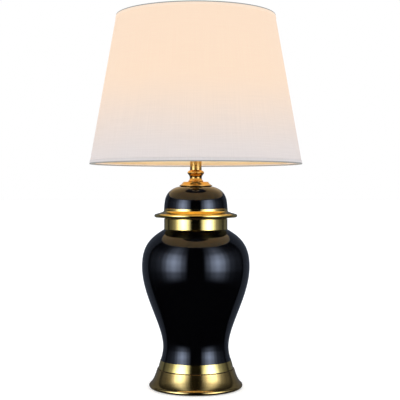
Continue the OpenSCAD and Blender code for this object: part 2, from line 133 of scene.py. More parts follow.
def smoothByAngle(tree, geometry, creaseSocket):
    allSmooth = addNode(tree, "GeometryNodeSetShadeSmooth", domain="FACE")
    creases = addNode(tree, "GeometryNodeSetShadeSmooth", domain="EDGE")
    creases.inputs["Shade Smooth"].default_value = False
    edgeAngle = addNode(tree, "GeometryNodeInputMeshEdgeAngle")
    link(geometry, allSmooth.inputs[0])
    link(allSmooth.outputs[0], creases.inputs[0])
    steep = mathNode(tree, "GREATER_THAN", edgeAngle.outputs["Unsigned Angle"], creaseSocket)
    link(steep, creases.inputs["Selection"])
    return creases.outputs[0]


def makeTurningTree():
    # an outline of edges in the XZ plane, turned once round the Z axis
    tree, start, end = newTree("turnedOnAxis", [
        ("Segments", "NodeSocketInt", 128),
        ("Crease", "NodeSocketFloat", radians(creaseAngle)),
        ("Material", "NodeSocketMaterial", None),
    ])
    tiny = 0.0005   # radius of the circle that carries the outline, which is moved back by as much
    outline = addNode(tree, "GeometryNodeMeshToCurve")
    upright = addNode(tree, "GeometryNodeTransform")
    upright.inputs["Rotation"].default_value = (pi / 2, 0, 0)
    upright.inputs["Translation"].default_value = (-tiny, 0, 0)
    circle = addNode(tree, "GeometryNodeCurvePrimitiveCircle", mode="RADIUS")
    circle.inputs["Radius"].default_value = tiny
    sweep = addNode(tree, "GeometryNodeCurveToMesh")
    merge = addNode(tree, "GeometryNodeMergeByDistance")
    merge.inputs["Distance"].default_value = weld
    link(start.outputs["Geometry"], outline.inputs[0])
    link(outline.outputs[0], upright.inputs[0])
    link(start.outputs["Segments"], circle.inputs["Resolution"])
    link(circle.outputs[0], sweep.inputs["Curve"])
    link(upright.outputs[0], sweep.inputs["Profile Curve"])
    link(sweep.outputs[0], merge.inputs[0])
    smooth = smoothByAngle(tree, merge.outputs[0], start.outputs["Crease"])
    finishTree(tree, start, end, smooth)
    return tree


def makeWireTree():
    # a path of edges, given a round section
    tree, start, end = newTree("bentWire", [
        ("Wire Radius", "NodeSocketFloat", 0.0016),
        ("Sides", "NodeSocketInt", 20),
        ("Material", "NodeSocketMaterial", None),
    ])
    path = addNode(tree, "GeometryNodeMeshToCurve")
    section = addNode(tree, "GeometryNodeCurvePrimitiveCircle", mode="RADIUS")
    sweep = addNode(tree, "GeometryNodeCurveToMesh")
    sweep.inputs["Fill Caps"].default_value = True
    smooth = addNode(tree, "GeometryNodeSetShadeSmooth", domain="FACE")
    link(start.outputs["Geometry"], path.inputs[0])
    link(start.outputs["Wire Radius"], section.inputs["Radius"])
    link(start.outputs["Sides"], section.inputs["Resolution"])
    link(path.outputs[0], sweep.inputs["Curve"])
    link(section.outputs[0], sweep.inputs["Profile Curve"])
    link(sweep.outputs[0], smooth.inputs[0])
    finishTree(tree, start, end, smooth.outputs[0])
    return tree


def makeThreadTree():
    # a raised thread: a spiral with a round section, on top of the geometry that comes in
    tree, start, end = newTree("rolledThread", [
        ("Radius", "NodeSocketFloat", 0.0126),
        ("Turns", "NodeSocketFloat", 4.0),
        ("Height", "NodeSocketFloat", 0.014),
        ("Ridge", "NodeSocketFloat", 0.0005),
        ("Material", "NodeSocketMaterial", None),
    ])
    spiral = addNode(tree, "GeometryNodeCurveSpiral")
    spiral.inputs["Resolution"].default_value = 48
    section = addNode(tree, "GeometryNodeCurvePrimitiveCircle", mode="RADIUS")
    section.inputs["Resolution"].default_value = 10
    sweep = addNode(tree, "GeometryNodeCurveToMesh")
    sweep.inputs["Fill Caps"].default_value = True
    smooth = addNode(tree, "GeometryNodeSetShadeSmooth", domain="FACE")
    both = addNode(tree, "GeometryNodeJoinGeometry")
    place = addNode(tree, "GeometryNodeTransform")
    lift = addNode(tree, "ShaderNodeCombineXYZ")
    link(start.outputs["Turns"], spiral.inputs["Rotations"])
    for label in ("Start Radius", "End Radius"):
        link(start.outputs["Radius"], spiral.inputs[label])
    link(start.outputs["Height"], spiral.inputs["Height"])
    link(start.outputs["Ridge"], section.inputs["Radius"])
    link(spiral.outputs[0], sweep.inputs["Curve"])
    link(section.outputs[0], sweep.inputs["Profile Curve"])
    link(sweep.outputs[0], smooth.inputs[0])
    # the thread starts one ridge and some plain barrel above the lowest point
    plainBarrel = 0.002
    box = addNode(tree, "GeometryNodeBoundBox")
    split = addNode(tree, "ShaderNodeSeparateXYZ")
    link(start.outputs["Geometry"], box.inputs[0])
    link(box.outputs["Min"], split.inputs[0])
    above = mathNode(tree, "ADD", split.outputs["Z"], start.outputs["Ridge"])
    above = mathNode(tree, "ADD", above, plainBarrel)
    link(above, lift.inputs["Z"])
    link(smooth.outputs[0], place.inputs[0])
    link(lift.outputs[0], place.inputs["Translation"])
    link(start.outputs["Geometry"], both.inputs[0])
    link(place.outputs[0], both.inputs[0])
    finishTree(tree, start, end, both.outputs[0])
    return tree


def keepMesh(piece, modifier):
    # what the modifier makes becomes the piece's plain mesh
    depsgraph = bpy.context.evaluated_depsgraph_get()
    made = bpy.data.meshes.new_from_object(piece.evaluated_get(depsgraph))
    piece.modifiers.remove(modifier)
    old = piece.data
    piece.data = made
    bpy.data.meshes.remove(old)
    made.name = piece.name


def runTree(piece, tree, values):
    # a node group's inputs are set by identifier
    modifier = piece.modifiers.new(tree.name, "NODES")
    modifier.node_group = tree
    for item in tree.interface.items_tree:
        if item.item_type == "SOCKET" and item.in_out == "INPUT" and item.name in values:
            modifier[item.identifier] = values[item.name]
    keepMesh(piece, modifier)


def tidyShell(piece):
    # closes what meets, drops loose edges, and turns every face outwards
    shell = bmesh.new()
    shell.from_mesh(piece.data)
    bmesh.ops.remove_doubles(shell, verts=shell.verts, dist=weld)
    bmesh.ops.dissolve_degenerate(shell, dist=1e-7, edges=shell.edges)
    for edge in [e for e in shell.edges if not e.link_faces]:
        shell.edges.remove(edge)
    bmesh.ops.recalc_face_normals(shell, faces=shell.faces)
    shell.to_mesh(piece.data)
    shell.free()


def cutHole(piece, place, direction, radius, length, crease=creaseAngle):
    # takes a round hole out of a closed piece, square to a direction
    cutter = bmesh.new()
    bmesh.ops.create_cone(cutter, cap_ends=True, segments=64, radius1=radius * mm, radius2=radius * mm,
                          depth=length * mm)
    turned = Vector(direction).to_track_quat("Z", "Y").to_matrix().to_4x4()
    bmesh.ops.transform(cutter, matrix=turned, verts=cutter.verts)
    bmesh.ops.translate(cutter, vec=Vector(place) * mm, verts=cutter.verts)
    mesh = bpy.data.meshes.new("cutter")
    cutter.to_mesh(mesh)
    cutter.free()
    tool = bpy.data.objects.new("cutter", mesh)
    scene.collection.objects.link(tool)
    modifier = piece.modifiers.new("hole", "BOOLEAN")
    modifier.object = tool
    modifier.operation = "DIFFERENCE"
    modifier.solver = "EXACT"
    keepMesh(piece, modifier)
    bpy.data.objects.remove(tool)
    bpy.data.meshes.remove(mesh)
    shell = bmesh.new()
    shell.from_mesh(piece.data)
    bmesh.ops.remove_doubles(shell, verts=shell.verts, dist=weld)
    for edge in shell.edges:
        edge.smooth = len(edge.link_faces) != 2 or edge.calc_face_angle(0) < radians(crease)
    shell.to_mesh(piece.data)
    shell.free()


def newPiece(name, points, edges, faces=()):
    mesh = bpy.data.meshes.new(name)
    mesh.from_pydata([Vector(p) * mm for p in points], edges, faces)
    piece = bpy.data.objects.new(name, mesh)
    scene.collection.objects.link(piece)
    return piece


def stand(piece, body, nodes):
    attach(piece, body)
    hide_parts(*nodes)
    return piece


def turn(name, outline, material, closed=True, segments=128, crease=creaseAngle):
    apart = 1e-4   # millimetres; nearer points are dropped
    points = []
    for p in outline:
        if not points or hypot(p[0] - points[-1][0], p[1] - points[-1][1]) > apart:
            points.append(p)
    if closed and hypot(points[0][0] - points[-1][0], points[0][1] - points[-1][1]) < apart:
        points.pop()
    edges = [(i, i + 1) for i in range(len(points) - 1)]
    if closed:
        edges.append((len(points) - 1, 0))
    piece = newPiece(name, [(x, 0, z) for x, z in points], edges)
    runTree(piece, turningTree, {"Segments": segments, "Crease": radians(crease), "Material": material})
    tidyShell(piece)
    return piece


def newShaderGroup(name, inputs, outputs):
    tree = bpy.data.node_groups.new(name, "ShaderNodeTree")
    for label, value in inputs:
        socket = tree.interface.new_socket(label, in_out="INPUT", socket_type="NodeSocketFloat")
        socket.default_value = value
    for label in outputs:
        tree.interface.new_socket(label, in_out="OUTPUT", socket_type="NodeSocketFloat")
    return tree, addNode(tree, "NodeGroupInput"), addNode(tree, "NodeGroupOutput")


def makeTurnedLines():
    # fine rings left by polishing on a lathe, from the distance to the axis and the height
    tree, start, end = newShaderGroup("turnedLines", [("Lines", 1400.0), ("Waver", 0.5)],
                                      ["Height", "Streak"])
    place = addNode(tree, "ShaderNodeTexCoord")
    parts = addNode(tree, "ShaderNodeSeparateXYZ")
    link(place.outputs["Object"], parts.inputs[0])
    across = mathNode(tree, "SQRT", mathNode(tree, "ADD", mathNode(tree, "POWER", parts.outputs[0], 2.0),
                                             mathNode(tree, "POWER", parts.outputs[1], 2.0)))
    around = mathNode(tree, "ARCTAN2", parts.outputs[0], mathNode(tree, "MULTIPLY", parts.outputs[1], -1.0))
    for label, share in (("Height", 1.0), ("Streak", 0.12)):
        rings = addNode(tree, "ShaderNodeCombineXYZ")
        lines = mathNode(tree, "MULTIPLY", start.outputs["Lines"], share)
        link(mathNode(tree, "MULTIPLY", across, lines), rings.inputs[0])
        link(mathNode(tree, "MULTIPLY", around, start.outputs["Waver"]), rings.inputs[1])
        link(mathNode(tree, "MULTIPLY", parts.outputs[2], lines), rings.inputs[2])
        grain = addNode(tree, "ShaderNodeTexNoise")
        grain.inputs["Scale"].default_value = 1.0
        grain.inputs["Detail"].default_value = 3.0
        link(rings.outputs[0], grain.inputs["Vector"])
        link(grain.outputs["Fac"], end.inputs[label])
    return tree


def makeMottle():
    # soft clouds for patina, firing marks and dust
    tree, start, end = newShaderGroup("mottle", [("Scale", 20.0), ("Contrast", 2.0)], ["Mask"])
    place = addNode(tree, "ShaderNodeTexCoord")
    cloud = addNode(tree, "ShaderNodeTexNoise")
    cloud.inputs["Detail"].default_value = 5.0
    link(place.outputs["Object"], cloud.inputs["Vector"])
    link(start.outputs["Scale"], cloud.inputs["Scale"])
    centred = mathNode(tree, "SUBTRACT", cloud.outputs["Fac"], 0.5)
    spread = mathNode(tree, "MULTIPLY_ADD", centred, start.outputs["Contrast"], 0.5)
    held = mathNode(tree, "MINIMUM", mathNode(tree, "MAXIMUM", spread, 0.0), 1.0)
    link(held, end.inputs["Mask"])
    return tree


def makeWeave():
    # plain weave along the piece's own UV map, which is in metres, with thick places in the yarn
    tree, start, end = newShaderGroup("plainWeave", [("Pitch", 0.0008), ("Slub", 1.0)], ["Height", "Tone"])
    place = addNode(tree, "ShaderNodeTexCoord")
    parts = addNode(tree, "ShaderNodeSeparateXYZ")
    link(place.outputs["UV"], parts.inputs[0])
    waves = []
    for i in (0, 1):
        turns = mathNode(tree, "DIVIDE", parts.outputs[i], start.outputs["Pitch"])
        waves.append(mathNode(tree, "SINE", mathNode(tree, "MULTIPLY", turns, pi)))
    over = mathNode(tree, "GREATER_THAN", mathNode(tree, "MULTIPLY", waves[0], waves[1]), 0.0)
    pick = addNode(tree, "ShaderNodeMix", data_type="FLOAT")
    link(over, pick.inputs["Factor"])
    link(mathNode(tree, "ABSOLUTE", waves[0]), pick.inputs["A"])
    link(mathNode(tree, "ABSOLUTE", waves[1]), pick.inputs["B"])
    tones = []
    for stretch in ((14.0, 700.0), (520.0, 9.0)):
        yarn = addNode(tree, "ShaderNodeCombineXYZ")
        link(mathNode(tree, "MULTIPLY", parts.outputs[0], stretch[0]), yarn.inputs[0])
        link(mathNode(tree, "MULTIPLY", parts.outputs[1], stretch[1]), yarn.inputs[1])
        slub = addNode(tree, "ShaderNodeTexNoise")
        slub.inputs["Scale"].default_value = 1.0
        slub.inputs["Detail"].default_value = 2.0
        link(yarn.outputs[0], slub.inputs["Vector"])
        tones.append(slub.outputs["Fac"])
    both = mathNode(tree, "MULTIPLY", mathNode(tree, "ADD", tones[0], tones[1]), 0.5)
    link(both, end.inputs["Tone"])
    raised = mathNode(tree, "MULTIPLY", mathNode(tree, "SUBTRACT", both, 0.5), start.outputs["Slub"])
    link(mathNode(tree, "ADD", pick.outputs[0], raised), end.inputs["Height"])
    return tree


def placeGroup(tree, group, **values):
    node = addNode(tree, "ShaderNodeGroup", node_tree=group)
    for label, value in values.items():
        node.inputs[label].default_value = value
    return node


def newMaterial(name, colour, roughness, metallic=0.0):
    material = bpy.data.materials.new(name)
    material.use_nodes = True
    tree = material.node_tree
    shader = tree.nodes["Principled BSDF"]
    shader.inputs["Base Color"].default_value = (*colour, 1)
    shader.inputs["Roughness"].default_value = roughness
    shader.inputs["Metallic"].default_value = metallic
    return material, tree, shader


def mixed(tree, factor, first, second, blend="MIX"):
    # both colours may be plain values or sockets
    node = addNode(tree, "ShaderNodeMix", data_type="RGBA", blend_type=blend)
    for label, value in (("Factor", factor), ("A", first), ("B", second)):
        socket = node.inputs[label]
        if isinstance(value, tuple):
            socket.default_value = (*value, 1)
        elif isinstance(value, float):
            socket.default_value = value
        else:
            link(value, socket)
    return node.outputs["Result"]


def blendColours(tree, mask, first, second, target):
    link(mixed(tree, mask, first, second), target)


def spreadRoughness(tree, mask, low, high, target):
    link(mathNode(tree, "MULTIPLY_ADD", mask, high - low, low), target)


def bumpFrom(tree, height, distance, strength, shader):
    bump = addNode(tree, "ShaderNodeBump")
    bump.inputs["Distance"].default_value = distance
    bump.inputs["Strength"].default_value = strength
    link(height, bump.inputs["Height"])
    link(bump.outputs[0], shader.inputs["Normal"])


def turnedMetal(name, bright, dull, smoothness, lines=1400.0, depth=0.00002, cloudScale=30.0, grain=0.35):
    # polished or brushed metal: rings from the lathe, and clouds of tarnish
    material, tree, shader = newMaterial(name, bright, smoothness[0], 1.0)
    rings = placeGroup(tree, turnedLines, Lines=lines)
    clouds = placeGroup(tree, mottle, Scale=cloudScale, Contrast=2.4)
    tarnish = mathNode(tree, "MULTIPLY", clouds.outputs["Mask"],
                       mathNode(tree, "ADD", rings.outputs["Streak"], 0.35))
    blendColours(tree, tarnish, bright, dull, shader.inputs["Base Color"])
    rough = mathNode(tree, "ADD", mathNode(tree, "MULTIPLY", rings.outputs["Streak"], grain),
                     mathNode(tree, "MULTIPLY", clouds.outputs["Mask"], 1 - grain))
    spreadRoughness(tree, rough, smoothness[0], smoothness[1], shader.inputs["Roughness"])
    bumpFrom(tree, rings.outputs["Height"], depth, 0.5, shader)
    return material


def glazedBlack():
    # thick black glaze, with a faint orange peel and finger smudges
    material, tree, shader = newMaterial("blackGlaze", (0.001, 0.001, 0.0015), 0.05)
    shader.inputs["Specular IOR Level"].default_value = 0.5
    smudge = placeGroup(tree, mottle, Scale=26.0, Contrast=3.0)
    spreadRoughness(tree, smudge.outputs["Mask"], 0.035, 0.085, shader.inputs["Roughness"])
    peel = placeGroup(tree, mottle, Scale=420.0, Contrast=1.0)
    blendColours(tree, peel.outputs["Mask"], (0.0006, 0.0006, 0.001), (0.0014, 0.0014, 0.002),
                 shader.inputs["Base Color"])
    bumpFrom(tree, peel.outputs["Mask"], 0.00001, 0.12, shader)
    return material


def speckled(name, first, second, scale, roughness, depth=0.0001):
    # moulded, pressed or cast stuff: a grain in its colour and its surface
    material, tree, shader = newMaterial(name, first, roughness[0])
    grain = placeGroup(tree, mottle, Scale=scale, Contrast=2.6)
    blendColours(tree, grain.outputs["Mask"], first, second, shader.inputs["Base Color"])
    spreadRoughness(tree, grain.outputs["Mask"], roughness[0], roughness[1], shader.inputs["Roughness"])
    bumpFrom(tree, grain.outputs["Mask"], depth, 0.4, shader)
    return material


def feltCloth():
    material = speckled("greenFelt", (0.03, 0.06, 0.045), (0.06, 0.1, 0.075), 900.0, (0.9, 1.0), 0.0003)
    shader = material.node_tree.nodes["Principled BSDF"]
    shader.inputs["Sheen Weight"].default_value = 0.4
    shader.inputs["Sheen Roughness"].default_value = 0.5
    return material


def wovenCloth(name, colour, shadow, pitch, depth=0.00025):
    material, tree, shader = newMaterial(name, colour, 0.9)
    shader.inputs["Specular IOR Level"].default_value = 0.15
    shader.inputs["Sheen Weight"].default_value = 0.08
    weave = placeGroup(tree, plainWeave, Pitch=pitch)
    toned = mathNode(tree, "MULTIPLY_ADD", mathNode(tree, "SUBTRACT", weave.outputs["Tone"], 0.5), 2.2, 0.5)
    blendColours(tree, toned, shadow, colour, shader.inputs["Base Color"])
    bumpFrom(tree, weave.outputs["Height"], depth, 0.35, shader)
    return material, tree, shader, toned


def smoothMask(tree, value, low, high):
    node = addNode(tree, "ShaderNodeMapRange", interpolation_type="SMOOTHSTEP")
    node.inputs["From Min"].default_value = low
    node.inputs["From Max"].default_value = high
    link(value, node.inputs["Value"])
    return node.outputs["Result"]


def litLinen(name, look):
    # painted glow: the cloth's glow is a painted emission that grows with height, the same all round, and
    # stops over the rings
    material, tree, shader, toned = wovenCloth(name, look["cloth"], look["clothShadow"], look["pitch"])
    place = addNode(tree, "ShaderNodeTexCoord")
    parts = addNode(tree, "ShaderNodeSeparateXYZ")
    link(place.outputs["Object"], parts.inputs[0])
    height = parts.outputs["Z"]
    cloud = placeGroup(tree, mottle, Scale=9.0, Contrast=1.0)
    wander = mathNode(tree, "MULTIPLY_ADD", cloud.outputs["Mask"], 0.03, height)
    lit = smoothMask(tree, wander, look["dimBelow"], look["fullAbove"])
    # the base colour is darker where the painted glow is
    base = mixed(tree, lit, shader.inputs["Base Color"].links[0].from_socket, look["clothLit"])
    glow = mixed(tree, lit, look["glowLow"], look["glowHigh"])
    dim = mathNode(tree, "MULTIPLY_ADD", toned, look["threadContrast"], 1 - look["threadContrast"] / 2)
    glow = mixed(tree, 1.0, glow, dim, "MULTIPLY")
    # painted shade: near the rims, over the wire rings, the cloth is greyed and the painted glow stops
    edge = mathNode(tree, "MINIMUM", mathNode(tree, "SUBTRACT", height, lowOf("bottom_trim") * mm),
                    mathNode(tree, "MULTIPLY_ADD", height, -1.0, highOf("top_trim") * mm))
    clear = smoothMask(tree, edge, look["rim"] * 0.6, look["rim"])
    base = mixed(tree, clear, look["paintedRimShade"], base)
    glow = mixed(tree, clear, (0.0, 0.0, 0.0), glow)
    link(base, shader.inputs["Base Color"])
    link(glow, shader.inputs["Emission Color"])
    shader.inputs["Emission Strength"].default_value = look["glow"]
    return material


def frostedBulb():
    # the inside of the glass is dusted white, and glows
    material, tree, shader = newMaterial("frostedGlass", (0.45, 0.42, 0.36), 0.35)
    shader.inputs["Emission Color"].default_value = (1.0, 0.74, 0.42, 1)
    shader.inputs["Emission Strength"].default_value = 0.85
    dust = placeGroup(tree, mottle, Scale=60.0, Contrast=2.0)
    spreadRoughness(tree, dust.outputs["Mask"], 0.28, 0.42, shader.inputs["Roughness"])
    return material


def clearGlass():
    material, tree, shader = newMaterial("stemGlass", (0.9, 0.95, 0.97), 0.08)
    shader.inputs["Transmission Weight"].default_value = 0.7
    streaks = placeGroup(tree, mottle, Scale=120.0, Contrast=2.0)
    spreadRoughness(tree, streaks.outputs["Mask"], 0.05, 0.15, shader.inputs["Roughness"])
    return material


turningTree = makeTurningTree()
wireTree = makeWireTree()
threadTree = makeThreadTree()
turnedLines = makeTurnedLines()
mottle = makeMottle()
plainWeave = makeWeave()

blackGlaze = glazedBlack()
gilding = turnedMetal("polishedGilding", (0.97, 0.73, 0.24), (0.82, 0.56, 0.14), (0.08, 0.16), 900.0,
                      0.000012)
antiqueBrass = turnedMetal("antiqueBrass", (0.84, 0.57, 0.19), (0.54, 0.33, 0.09), (0.11, 0.19), 1600.0,
                           0.00001)
stemBrass = turnedMetal("polishedBrass", (0.70, 0.44, 0.13), (0.48, 0.27, 0.07), (0.12, 0.24), 1800.0)
contactBrass = turnedMetal("contactBrass", (0.85, 0.66, 0.34), (0.62, 0.44, 0.2), (0.25, 0.4), 2200.0)
nickelPlate = turnedMetal("nickelPlate", (0.74, 0.72, 0.68), (0.56, 0.54, 0.5), (0.16, 0.3), 1500.0)
zincPlate = turnedMetal("zincPlate", (0.6, 0.6, 0.6), (0.42, 0.42, 0.4), (0.34, 0.5), 1100.0, 0.00005)
castIron = speckled("castIron", (0.05, 0.05, 0.05), (0.09, 0.085, 0.08), 300.0, (0.6, 0.8), 0.0004)
darkCork = speckled("darkCork", (0.035, 0.02, 0.012), (0.09, 0.055, 0.03), 700.0, (0.8, 0.95), 0.0003)
blackRubber = speckled("blackRubber", (0.012, 0.012, 0.012), (0.024, 0.024, 0.025), 240.0, (0.55, 0.7))
phenolic = speckled("phenolic", (0.035, 0.028, 0.024), (0.06, 0.05, 0.042), 400.0, (0.35, 0.5))
fibreBoard = speckled("fibreBoard", (0.5, 0.36, 0.2), (0.62, 0.47, 0.3), 260.0, (0.8, 0.95))
knobPlastic = speckled("knobPlastic", (0.01, 0.01, 0.01), (0.02, 0.018, 0.016), 180.0, (0.18, 0.3), 0.00002)
felt = feltCloth()
bulbGlass = frostedBulb()
stemGlass = clearGlass()
# painted glow: clothLit, glowLow and glowHigh; painted shade at the rims: paintedRimShade
linenLook = {
    "cloth": (0.78, 0.775, 0.765), "clothShadow": (0.71, 0.70, 0.69),
    "clothLit": (0.36, 0.335, 0.32),
    "pitch": 0.0009,
    "dimBelow": 0.42, "fullAbove": 0.607,   # heights in metres
    "glowLow": (0.07, 0.01, 0.0), "glowHigh": (0.65, 0.445, 0.275),
    "glow": 1.0, "threadContrast": 0.10,
    "rim": 0.0024, "paintedRimShade": (0.34, 0.34, 0.33),
}
linen = litLinen("litLinen", linenLook)
trimTape = litLinen("trimTape", {**linenLook, "clothLit": (0.42, 0.40, 0.38), "pitch": 0.0006,
                                 "glowHigh": (0.58, 0.40, 0.25), "glowLow": (0.04, 0.0, 0.0)})
# the white lining is tinted warm cream: painted warm bulb light, on top of the bulb lamp's real light
lining = speckled("liningPaintedWarm", (0.80, 0.73, 0.55), (0.85, 0.78, 0.60), 14.0, (0.5, 0.6), 0.00005)
print("materials made")


# CAD nodes that keep their own shape
keptNodes = {
    "bottom_plate": zincPlate, "base_weight": castIron, "cord_bush": blackRubber, "foot_ring": darkCork,
    "neck_ring": darkCork, "threaded_rod": zincPlate, "rod_washer": zincPlate, "rod_nut": zincPlate,
    "harp_saddle": nickelPlate, "holder_cap": stemBrass, "set_screw": zincPlate, "holder_shell": stemBrass,
    "shell_liner": fibreBoard, "holder_core": phenolic, "terminal_screws": contactBrass,
    "screw_shell": contactBrass, "centre_contact": contactBrass, "switch_knob": knobPlastic,
    "knob_shaft": contactBrass, "bulb_contact": phenolic, "bulb_stem": stemGlass, "harp_stud": stemBrass,
    "spider": nickelPlate, "bottom_ring": nickelPlate,
}
for nodeName, material in keptNodes.items():
    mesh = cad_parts[nodeName].data
    mesh.materials.clear()
    mesh.materials.append(material)


plinthShape = {
    "lipRadius": 4.0,      # of the rolled bottom lip
    "lipEnd": 62,          # angle where the wall runs into the lip
    "ledge": 2.2,          # top edge past the gold band
    "wall": 2.2,
    "deck": 2.5,
    "wallSteps": 14, "bushStep": 6,   # the bush sits this many steps down the wall
    "bushHole": 5.2, "bushCut": 18,
}


def makePlinth(shape):
    low, high = lowOf("plinth"), highOf("plinth")
    topRadius = radiusOf("foot_band") + shape["ledge"]
    lip = shape["lipRadius"]
    lipX, lipZ = radiusOf("plinth") - lip, low + lip
    plateTop = highOf("bottom_plate")
    plateRadius = lipX - lip - 0.1
    deck = high - shape["deck"]
    # the wall's two ends, with two handles between them that bend it
    wallLine = ((topRadius, high - 1), (topRadius + 3.6, 0.66 * high), (topRadius + 6.6, 0.4 * high),
                roundCorner(lipX, lipZ, lip, shape["lipEnd"], shape["lipEnd"], 1)[0])
    cove = bezier(*wallLine, 42)
    inside = [(x - shape["wall"], z) for x, z in cove if plateTop + 7 < z < deck - 1]
    outline = [(rodHole, high), (topRadius - 2, high)]
    outline += roundCorner(topRadius - 1, high - 1, 1, 90, 20, 6)
    outline += cove + roundCorner(lipX, lipZ, lip, shape["lipEnd"], -170, 24)[1:]
    outline += [(plateRadius + 0.1, plateTop), (plateRadius - 3, plateTop), (plateRadius - 3, plateTop + 3.5),
                (lipX - lip, plateTop + 5)]
    outline += list(reversed(inside)) + [(topRadius - shape["wall"] - 1, deck), (rodHole, deck)]
    piece = turn("plinthShell", outline, antiqueBrass, segments=160)
    # the hole for the cord's bush, at the rear and square to the wall
    above, bush, below = bezier(*wallLine, shape["wallSteps"])[shape["bushStep"] - 1:shape["bushStep"] + 2]
    tilt = atan2(below[0] - above[0], above[1] - below[1])
    cutHole(piece, (0, *bush), (0, cos(tilt), sin(tilt)), shape["bushHole"], shape["bushCut"])
    stand(piece, "base", ["plinth"])


jarShape = {
    "waist": 61.7, "waistRise": 40.0,      # radius, and height above the foot
    "footFlare": 3.2,
    "bellyRise": 191.0,
    "neckHeight": 20.5,
    "wall": 6.0, "floor": 8.0,
    "bandHeight": 16.3, "bandThick": 0.6,
}


def jarCurves(shape):
    foot = lowOf("jar")
    top = highOf("jar")
    belly = radiusOf("jar")
    footRadius = radiusOf("foot_band") - shape["bandThick"]
    neck = radiusOf("neck_band") - shape["bandThick"]
    waist, rise = shape["waist"], shape["waistRise"]
    bellyZ = foot + shape["bellyRise"]
    shoulderZ = top - shape["neckHeight"]
    sideRise = shape["bellyRise"] - rise
    topRise = shoulderZ - bellyZ
    lower = bezier((footRadius, foot), (footRadius - shape["footFlare"], foot + 0.38 * rise),
                   (waist, foot + 0.62 * rise), (waist, foot + rise), 24)
    side = bezier((waist, foot + rise), (waist, foot + rise + 0.27 * sideRise),
                  (belly, bellyZ - 0.37 * sideRise), (belly, bellyZ), 40)
    upper = bezier((belly, bellyZ), (belly, bellyZ + 0.52 * topRise),
                   (neck + 0.68 * (belly - neck), shoulderZ - 0.23 * topRise), (neck + 0.8, shoulderZ), 36)
    return lower, side, upper, neck, shoulderZ


def makeJar(shape):
    lower, side, upper, neck, shoulderZ = jarCurves(shape)
    foot, top = lowOf("jar"), highOf("jar")
    outer = lower + side[1:] + upper[1:]
    wall = shape["wall"]
    inner = [(x - wall, z) for x, z in outer if foot + shape["floor"] + 2 < z < shoulderZ - 4][::3]
    outline = [(rodHole, foot)] + outer
    outline += [(neck, shoulderZ + 0.1), (neck, top - 0.8), (neck - 0.8, top), (neck - wall, top),
                (neck - wall, shoulderZ - 2)]
    outline += list(reversed(inner))
    outline += [(lower[0][0] - wall - 6, foot + shape["floor"]), (rodHole, foot + shape["floor"])]
    piece = turn("jarBody", outline, blackGlaze, segments=192)
    stand(piece, "base", ["jar"])

    thick = shape["bandThick"]
    seam = [p for p in lower if p[1] <= foot + shape["bandHeight"] + 0.01]
    outline = [(x + 0.02, z) for x, z in seam]
    outline += [(x + thick, z) for x, z in reversed(seam)]
    stand(turn("footBand", outline, gilding, segments=160), "base", ["foot_band"])

    bandTop = highOf("neck_band")
    edge = 0.25
    outline = [(neck + 0.02, shoulderZ + 0.05), (neck + thick - edge, shoulderZ + 0.05),
               (neck + thick, shoulderZ + 0.05 + edge), (neck + thick, bandTop - edge),
               (neck + thick - edge, bandTop), (neck + 0.02, bandTop)]
    stand(turn("neckBand", outline, gilding, segments=160), "base", ["neck_band"])


lidShape = {
    "spigotHeight": 6.0, "spigotRadius": 52.7, "bore": 49.7,
    "lipRadius": 3.3,
    "domeWall": 5.0,
}


def makeLid(shape):
    rimLow = lowOf("lid_rim") + shape["spigotHeight"]
    rimHigh = highOf("lid_rim")
    height = rimHigh - rimLow
    wide = radiusOf("lid_rim")
    rim = radiusOf("neck_band") + 0.5
    lip = shape["lipRadius"]
    lipC, lipZ = wide - lip, rimLow + lip + 1
    spigot = shape["spigotRadius"]
    outline = [(shape["bore"], rimLow - shape["spigotHeight"]), (spigot - 1, rimLow - shape["spigotHeight"]),
               (spigot, rimLow - shape["spigotHeight"] + 1), (spigot, rimLow), (rim + 1.5, rimLow)]
    outline += bezier((rim + 1.5, rimLow), (rim + 6, rimLow + 0.2), (lipC - 6, lipZ - lip),
                      (lipC - 0.3, lipZ - lip), 8)[1:]
    outline += roundCorner(lipC, lipZ, lip, -95, 70, 22)
    outline += bezier((lipC + 1.1, lipZ + lip * 0.94), (lipC - 3.5, lipZ + lip + 0.9),
                      (rim + 5.5, rimLow + 0.58 * height), (rim + 2.2, rimLow + 0.66 * height), 14)[1:]
    outline += bezier((rim + 2.2, rimLow + 0.66 * height), (rim + 1.0, rimLow + 0.69 * height),
                      (rim, rimLow + 0.72 * height), (rim, rimLow + 0.8 * height), 8)[1:]
    outline += [(rim, rimHigh - 0.4), (rim - 0.4, rimHigh), (shape["bore"], rimHigh)]
    stand(turn("lidRim", outline, gilding, segments=192), "base", ["lid_rim"])

    low, high = lowOf("lid_dome"), highOf("lid_dome")
    tall = high - low
    canopy = radiusOf("canopy")
    dome = bezier((rim - 0.3, low), (rim - 1.1, low + 0.46 * tall), (rim - 4.3, low + 0.89 * tall),
                  (canopy - 2.8, high), 44)
    wall = shape["domeWall"]
    inner = [(x - wall, z) for x, z in dome if z < high - wall - 2][::3]
    outline = dome + [(rodHole, high), (rodHole, high - wall), (canopy - 4, high - wall)]
    outline += list(reversed(inner))
    stand(turn("lidDome", outline, blackGlaze, segments=176), "base", ["lid_dome"])


stemShape = {
    "flatPart": 8.2,       # width of the canopy's slope
    "canopyWall": 1.5,
    "waist": 0.72,         # of the bead's radius
    "foot": 0.86,
    "tubeWall": 1.5,
}


